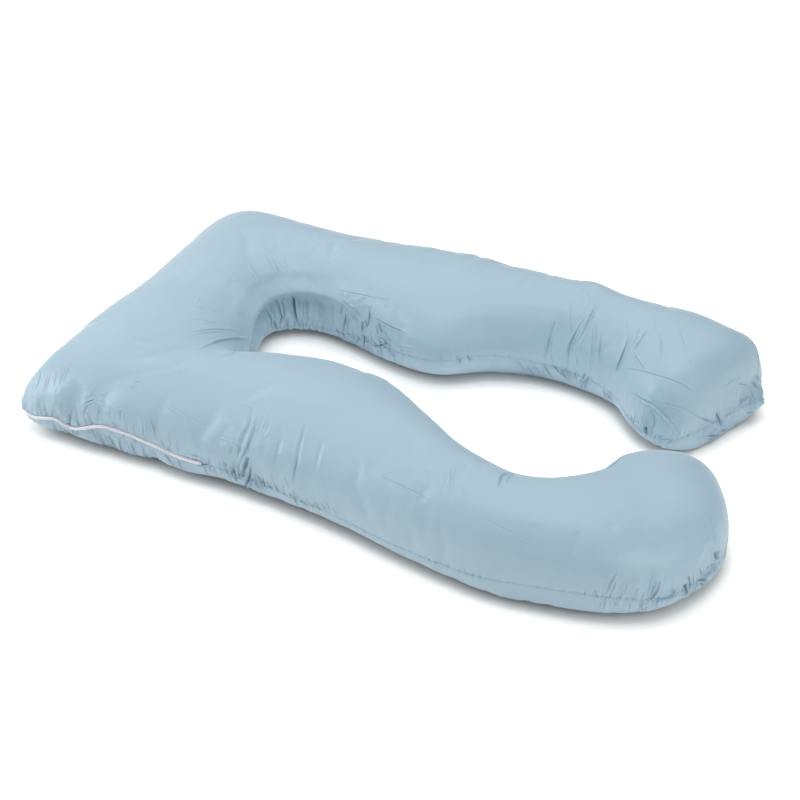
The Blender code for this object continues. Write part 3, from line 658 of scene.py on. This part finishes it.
def pulled(co):
    """How far each point goes with the pulled places of the cover."""
    pull = np.zeros_like(co)
    for place, px, py, pz, reach, *points in PULLS:
        line = curve_through(points, step=12) if len(points) > 1 else np.array(points) * MM
        share = np.zeros(len(co))
        for i, p in enumerate(line):
            fade = 1 - (2 * i / (len(line) - 1) - 1) ** 4 if len(line) > 1 else 1
            off = np.linalg.norm(co - p, axis=1) / (reach * MM)
            share = np.maximum(share, fade * np.exp(-off ** 2))
        pull += share[:, None] * np.array((px, py, pz)) * MM
    return pull


def fold_across(off, out, broad):
    """How deep a fold is at a distance across it: a round trough, less the roll of cloth beside it."""
    return np.exp(-off ** 2) - SHOULDER * np.exp(-(off - out) ** 2 / broad)


def slow_part(mesh, field, rounds):
    """A field on a mesh's points averaged with its neighbours, round after round."""
    pairs = np.empty(len(mesh.edges) * 2, int)
    mesh.edges.foreach_get("vertices", pairs)
    a, b = pairs.reshape(-1, 2).T
    count = np.bincount(a, minlength=len(field)) + np.bincount(b, minlength=len(field))
    field = field.copy()
    for _ in range(rounds):
        for axis in range(field.shape[1]):
            near = np.bincount(a, field[b, axis], len(field)) + np.bincount(b, field[a, axis], len(field))
            field[:, axis] = 0.5 * field[:, axis] + 0.5 * near / count
    return field


solid = frame["nodes"]["pillow"]
bm = bmesh.new()
bm.from_mesh(solid.data)
bmesh.ops.remove_doubles(bm, verts=bm.verts, dist=0.01 * MM)
cover = new_piece("cover", bm)
for other in bpy.context.view_layer.objects:
    other.select_set(other is cover)
bpy.context.view_layer.objects.active = cover
cover.data.remesh_voxel_size = CLOTH_PITCH * MM
bpy.ops.object.voxel_remesh()

seam = curve_through(OUTER_SEAM + FAR_END_SEAM + INNER_SEAM + NEAR_END_SEAM, closed=True)
bm = bmesh.new()
bm.from_mesh(cover.data)
for _ in range(SMOOTHING_ROUNDS):
    bmesh.ops.smooth_vert(bm, verts=bm.verts, factor=0.5, use_axis_x=True, use_axis_y=True, use_axis_z=True)
for v in bm.verts:
    v.co.z = max(v.co.z, 0.0)
bm.to_mesh(cover.data)
bm.free()
start = read_points(cover.data)

from_seam, _ = nearest_on(seam, start, 3 * CLOTH_PITCH * MM)
held = np.where(start[:, 2] < FLOOR_TOUCH * MM, 1.0,
                np.clip(1.5 - from_seam / (CLOTH_PITCH * MM), 0, 1))
for name, weights in (("held", held), ("gathered", gathered(start))):
    group = cover.vertex_groups.new(name=name)
    for i in np.nonzero(weights > 0.01)[0]:
        group.add([int(i)], float(weights[i]), "REPLACE")
inflating = cover.modifiers.new("inflating", "CLOTH")
inflating.point_cache.frame_start, inflating.point_cache.frame_end = 1, CLOTH_FRAMES
inflating.collision_settings.use_collision = False
cloth = inflating.settings
cloth.quality = 4
cloth.mass = 0.15
cloth.tension_stiffness = cloth.compression_stiffness = 15
cloth.shear_stiffness = 5
cloth.bending_stiffness = 0.2
cloth.use_pressure = True
cloth.uniform_pressure_force = PRESSURE
cloth.vertex_group_mass = "held"
cloth.vertex_group_shrink = "gathered"
cloth.shrink_min, cloth.shrink_max = -SPARE_CLOTH, -SPARE_CLOTH_AT_GATHERS
cloth.effector_weights.gravity = 0
for number in range(1, CLOTH_FRAMES + 1):
    scene.frame_set(number)
inflated = read_points(cover.evaluated_get(bpy.context.evaluated_depsgraph_get()).data)
cover.modifiers.remove(inflating)
scene.frame_set(1)
move = inflated - start
far = np.maximum(np.linalg.norm(move, axis=1, keepdims=True), 1e-9)
move *= np.minimum(1, MOST_MOVE * MM / far)
move -= slow_part(cover.data, move, SWELL_ROUNDS)
now = start + WRINKLE_GAIN * move
now[:, 2] = np.where(start[:, 2] < FLOOR_TOUCH * MM, start[:, 2], np.maximum(now[:, 2], 0.0))
write_points(cover.data, now)
cover.vertex_groups.clear()

# The mesh is halved all over, and again along the seam and the creases, before they are sewn in
finer = cover.modifiers.new("finer", "SUBSURF")
finer.levels = finer.render_levels = 1
fine_mesh = bpy.data.meshes.new_from_object(cover.evaluated_get(bpy.context.evaluated_depsgraph_get()))
cover.modifiers.clear()
cover.data = fine_mesh
skin = skin_of(fine_mesh)
seam = np.array([skin.find_nearest(Vector(p))[0] for p in seam])
lines = []
for width, depth, *points in CREASES:
    line = curve_through(points, step=1.5)
    lines.append((width, depth, np.array([skin.find_nearest(Vector(p))[0] for p in line])))
narrow = np.vstack([seam] + [line for width, depth, line in lines if width < NARROW])

bm = bmesh.new()
bm.from_mesh(fine_mesh)
for reach, beside_reach in FINER:
    co = np.array([v.co for v in bm.verts])
    near, _ = nearest_on(narrow, co, reach * MM)
    beside, _ = nearest_on(seam, co, beside_reach * MM)
    near = (near < reach * MM) | (beside < beside_reach * MM) & (gathered(co) > FINER_SHARE)
    edges = [e for e in bm.edges if near[e.verts[0].index] and near[e.verts[1].index]]
    bmesh.ops.subdivide_edges(bm, edges=edges, cuts=1, use_grid_fill=True)
    bm.verts.index_update()
bm.to_mesh(fine_mesh)
bm.free()
co, out = read_points(fine_mesh), read_points(fine_mesh, normals=True)

shift = np.zeros(len(co))
for width, depth, line in lines:
    reach = CREASE_REACH * width * MM
    close = np.nonzero(((co > line.min(0) - reach) & (co < line.max(0) + reach)).all(1))[0]
    gap = np.linalg.norm(co[close, None] - line[None], axis=2)
    along, off = gap.argmin(1) / (len(line) - 1), gap.min(1) / (width * MM)
    fade = (1 - (2 * along - 1) ** 2) ** 0.8
    shift[close] -= depth * MM * fold_across(off, SHOULDER_OUT, CREASE_ROLL) * fade

width, height, *points = NECK_RIM
rim = curve_through(points, step=2.0)   # it starts sharply and fades out slowly
gap, index = nearest_on(rim, co, 5 * width * MM)
near = np.nonzero(np.isfinite(gap))[0]
along = index[near] / (len(rim) - 1)
fade = np.clip(np.minimum(20 * along, 6 - 6 * along), 0, 1)
shift[near] += height * MM * np.exp(-gap[near] / (width * MM)) * fade

# Fine crushed folds where the cover is gathered most: thin ridges of noise, drawn out up and down
strength = gathered(co)
for i in np.nonzero(strength > CRUMPLE_SHARE)[0]:
    x, y, z = co[i] / (CRUMPLE_SIZE * MM)
    bend = 0.6 * noise.noise((x / 2, y / 2, z / 2))
    crest = 1 - abs(noise.noise((x + bend, y - bend, z * 0.6)))
    second = 1 - abs(noise.noise((x * 1.9 + 7, y * 1.9 + bend, z * 1.1 + 3)))
    folds = crest ** 8 + 0.5 * second ** 8 - 0.3
    shift[i] += folds * CRUMPLE_DEPTH * MM * (strength[i] - CRUMPLE_SHARE)

# Gathers of the seam: small tucks at uneven places that run in to both panels and fade out
away, index = nearest_on(seam, co, SEAM_REACH * MM)
step = np.linalg.norm(np.roll(seam, -1, axis=0) - seam, axis=1)
travel = np.concatenate([[0], np.cumsum(step)[:-1]])
length = step.sum()
close = np.nonzero(np.isfinite(away))[0]
place, off = travel[index[close]], away[close]
upper = co[close, 2] > seam[index[close], 2]
strength = gathered(seam)
rng = np.random.default_rng(7)
tuck = np.zeros(len(close))
at = 0.0
while at < length:
    pull = float(np.interp(at, travel, strength))
    for top in (True, False):
        reach = rng.uniform(TUCK_LENGTH[0], TUCK_LENGTH[1] + TUCK_LENGTH[2] * pull) * MM
        wide = rng.uniform(*TUCK_WIDTH) * MM
        deep = rng.uniform(TUCK_DEPTH[0], TUCK_DEPTH[1] + TUCK_DEPTH[2] * pull) * MM
        slant = rng.normal(0, 0.25)
        lean = rng.choice((-1, 1))
        across = (place - at - slant * off + length / 2) % length - length / 2
        part = np.nonzero((upper == top) & (np.abs(across) < 4 * wide) & (off < 3 * reach))[0]
        side = across[part] / (wide * (1 + off[part] / (TUCK_FAN * MM)))
        fold = fold_across(side, lean * SHOULDER_OUT, TUCK_ROLL)
        tuck[part] += deep * fold * np.exp(-(off[part] / reach) ** 1.5)
    at += rng.uniform(0.5, 1.5) * (TUCK_PITCH[0] - TUCK_PITCH[1] * pull) * MM
shift[close] -= tuck

# The seam itself is a sharp valley; along the zip it is a slot with a rolled edge on either side
zipped = (seam[:, 0] > ZIP_FROM * MM) & (seam[:, 0] < ZIP_TO * MM) & (seam[:, 1] < ZIP_SIDE * MM)
in_zip = zipped[index[close]]
uneven = 0.75 + 0.25 * np.sin(place / MM * 0.9)
valley = SEAM_DEPTH * MM * uneven * np.exp(-(off / (SEAM_WIDTH * MM)) ** 1.6)
slot = ZIP_SLOT_DEPTH * MM / (1 + np.exp((off / MM - ZIP_SLOT_WIDTH) / ZIP_SLOT_EDGE))
roll = ZIP_ROLL * MM * np.exp(-((off / MM - ZIP_ROLL_OUT) / ZIP_ROLL_WIDTH) ** 2)
shift[close] -= np.where(in_zip, slot - roll, valley)

shift[co[:, 2] < FLOOR_TOUCH * MM] = 0
now = co + out * shift[:, None] + pulled(co)
now[:, 2] = np.maximum(now[:, 2], 0)
seam = seam + pulled(seam)
write_points(fine_mesh, now)
fine_mesh.shade_smooth()

# Cotton sateen: long floating threads give it a soft broad gloss, a little stronger at a glancing
# angle, and it creases finely where it is gathered. Its threads are 0.2 mm apart, so the weave
# is drawn five times as coarse, as slanting rows 1 mm apart, to show at all in a close view.
THREAD_ROWS = 1.0
WEAVE_DEPTH, RUMPLE_DEPTH = 0.06, 1.2
CLOUDS, RUMPLES = 7.0, 55.0   # of them in a metre: paler and darker patches, and soft rumples
COVER_BLUE, COVER_PALE = "#95B0C0", "#9BB6C5"
sateen = new_material("light blue cotton sateen")
where = add_node(sateen, "ShaderNodeTexCoord").outputs["Object"]
clouds = add_node(sateen, "ShaderNodeTexNoise", Vector=where, Scale=CLOUDS, Detail=2.0)
shade = add_node(sateen, "ShaderNodeMix", {"data_type": "RGBA"},
                 {0: clouds.outputs[0], 6: linear(COVER_BLUE), 7: linear(COVER_PALE)})
rumple = add_node(sateen, "ShaderNodeTexNoise", Vector=where, Scale=RUMPLES, Detail=3.0, Roughness=0.55)
rumple_bump = add_node(sateen, "ShaderNodeBump", Height=rumple.outputs[0], Strength=0.25,
                       Distance=RUMPLE_DEPTH * MM)
weave = add_node(sateen, "ShaderNodeTexWave", {"bands_direction": "DIAGONAL"}, Vector=where,
                 Scale=2 * math.pi / (10 * math.sqrt(2) * THREAD_ROWS * MM), Distortion=1.5,
                 Detail=1.0, Detail_Scale=0.3)
weave_bump = add_node(sateen, "ShaderNodeBump", Height=weave.outputs[1], Strength=0.3,
                      Distance=WEAVE_DEPTH * MM, Normal=rumple_bump.outputs[0])
dress(cover, sateen, Base_Color=shade.outputs[2], Roughness=0.5, Specular_IOR_Level=0.8,
      Sheen_Weight=0.3, Sheen_Roughness=0.35, Normal=weave_bump.outputs[0])
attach(cover, "root")
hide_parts("pillow")

# Seam thread: tone-on-tone lockstitch that closes the cover, half sunk in the seam all the way
# round except at the zip. One small faceted ball, drawn out long, is set at every stitch.
STITCH_PITCH, STITCH_LENGTH, THREAD = 3.2, 2.3, 0.5
THREAD_BLUE = "#8FABBC"


def studded(name, places):
    """One small faceted ball set at every place, each a 4 x 4 matrix, as a single piece."""
    bm = bmesh.new()
    bmesh.ops.create_icosphere(bm, subdivisions=1, radius=1)
    ball = np.array([(*v.co, 1) for v in bm.verts])
    corners = np.array([[v.index for v in face.verts] for face in bm.faces])
    bm.free()
    mesh = bpy.data.meshes.new(name)
    mesh.from_pydata(np.vstack([(ball @ np.array(m).T)[:, :3] for m in places]).tolist(), [],
                     np.vstack([corners + i * len(ball) for i in range(len(places))]).tolist())
    mesh.shade_smooth()
    return new_object(name, mesh)


def spaced(line, pitch):
    """Points at an even pitch along a line, with the line's direction at each."""
    along = np.concatenate([[0], np.cumsum(np.linalg.norm(np.diff(line, axis=0), axis=1))])
    at = np.arange(pitch / 2, along[-1], pitch)
    points, ahead, behind = (
        np.column_stack([np.interp(at + step, along, line[:, axis]) for axis in range(3)])
        for step in (0, pitch, -pitch))
    way = ahead - behind
    return points, way / np.linalg.norm(way, axis=1, keepdims=True)


def bar(place, way, facing, length, width, depth):
    """The matrix that sets a ball at a place, its length along way and its depth along facing."""
    facing = Vector(facing)
    side = facing.cross(Vector(way)).normalized()
    facing = Vector(way).cross(side).normalized()
    turned = Matrix((Vector(way), side, facing)).transposed().to_4x4()
    sized = Matrix.Diagonal((length / 2, width / 2, depth / 2, 1 / MM))
    return Matrix.Translation(Vector(place)) @ turned @ sized * MM


sewn = skin_of(fine_mesh)
stitches = []
from_zip = np.roll(seam, -int(np.nonzero(zipped)[0][-1]), axis=0)
for place, way in zip(*spaced(from_zip, STITCH_PITCH * MM)):
    if ZIP_FROM * MM < place[0] < ZIP_TO * MM and place[1] < ZIP_SIDE * MM:
        continue
    found, facing, _, _ = sewn.find_nearest(Vector(place))
    if found.z > FLOOR_TOUCH * MM:
        stitches.append(bar(found, way, facing, STITCH_LENGTH, THREAD, THREAD))
thread = studded("seam_thread", stitches)
# Spun polyester: dull and a shade deeper than the cover, so that the stitches read as a dotted line
dress(thread, new_material("light blue polyester thread"), Base_Color=linear(THREAD_BLUE), Roughness=0.55)
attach(thread, "root")
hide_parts("pillow")


# Zip: a closed white nylon coil on a woven white tape whose edges run in under the cover. The two
# coils mesh half a pitch apart, and the last of them slips under the cover's edge.
COIL_PITCH, COIL_REACH, COIL_THICK, COIL_DEPTH = 1.3, 3.8, 1.1, 2.4
COIL_OVERLAP = 0.45    # how far each coil crosses the middle
COIL_SET_BACK = -2.1   # from the closed cover's surface to the middle of the coils
ZIP_END_TUCK, ZIP_END_SINK = 14, 4.0   # over its last millimetres the coil dips in under the cover
TAPE_WIDTH, TAPE_THICK, TAPE_SET_BACK, TAPE_EDGE_SET_BACK = 8.4, 0.5, 0.8, 2.4
NYLON_WHITE, TAPE_WHITE = "#F8F9FF", "#EEF0F6"

points, ways = spaced(seam[zipped], COIL_PITCH / 2 * MM)
away = np.column_stack([ways[:, 1], -ways[:, 0], np.zeros(len(ways))])
away *= np.where(away[:, 1:2] > 0, -1, 1) / np.linalg.norm(away, axis=1, keepdims=True)
from_end = (points[:, 0] - ZIP_TO * MM) / MM
sink = COIL_SET_BACK + ZIP_END_SINK * np.clip(1 + from_end / ZIP_END_TUCK, 0, 1) ** 2
middle = points - away * sink[:, None] * MM
across = np.cross(away, ways)
across *= np.sign(across[:, 2:3])
coils = []
for i, (place, way, facing, up) in enumerate(zip(middle, ways, away, across)):
    off = (1 if i % 2 else -1) * (COIL_REACH / 2 - COIL_OVERLAP) * MM
    coils.append(bar(place + up * off, way, facing, COIL_THICK, COIL_REACH, COIL_DEPTH))
coil = studded("zip_coil", coils)
# Drawn nylon: smooth, bright white, with a small soft gloss on each coil
dress(coil, new_material("white nylon"), Base_Color=linear(NYLON_WHITE), Roughness=0.35)

bm = bmesh.new()
rows = []
for place, facing, up in zip(middle[::2], away[::2], across[::2]):
    row = []
    for part in (-1, -0.5, 0.5, 1):
        back = TAPE_SET_BACK if abs(part) < 1 else TAPE_EDGE_SET_BACK
        row.append(bm.verts.new(place + (up * part * TAPE_WIDTH / 2 - facing * back) * MM))
    rows.append(row)
for one, two in zip(rows, rows[1:]):
    for a, b, c, d in zip(one, one[1:], two[1:], two):
        bm.faces.new((a, b, c, d))
bmesh.ops.solidify(bm, geom=bm.faces[:], thickness=TAPE_THICK * MM)
bmesh.ops.recalc_face_normals(bm, faces=bm.faces)
tape = new_piece("zip_tape", bm)
# Polyester twill: a flat weave, matt and a little greyer than the coil
dress(tape, new_material("white polyester tape"), Base_Color=linear(TAPE_WHITE), Roughness=0.8)
for piece in (coil, tape):
    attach(piece, "root")
    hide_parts("zip")
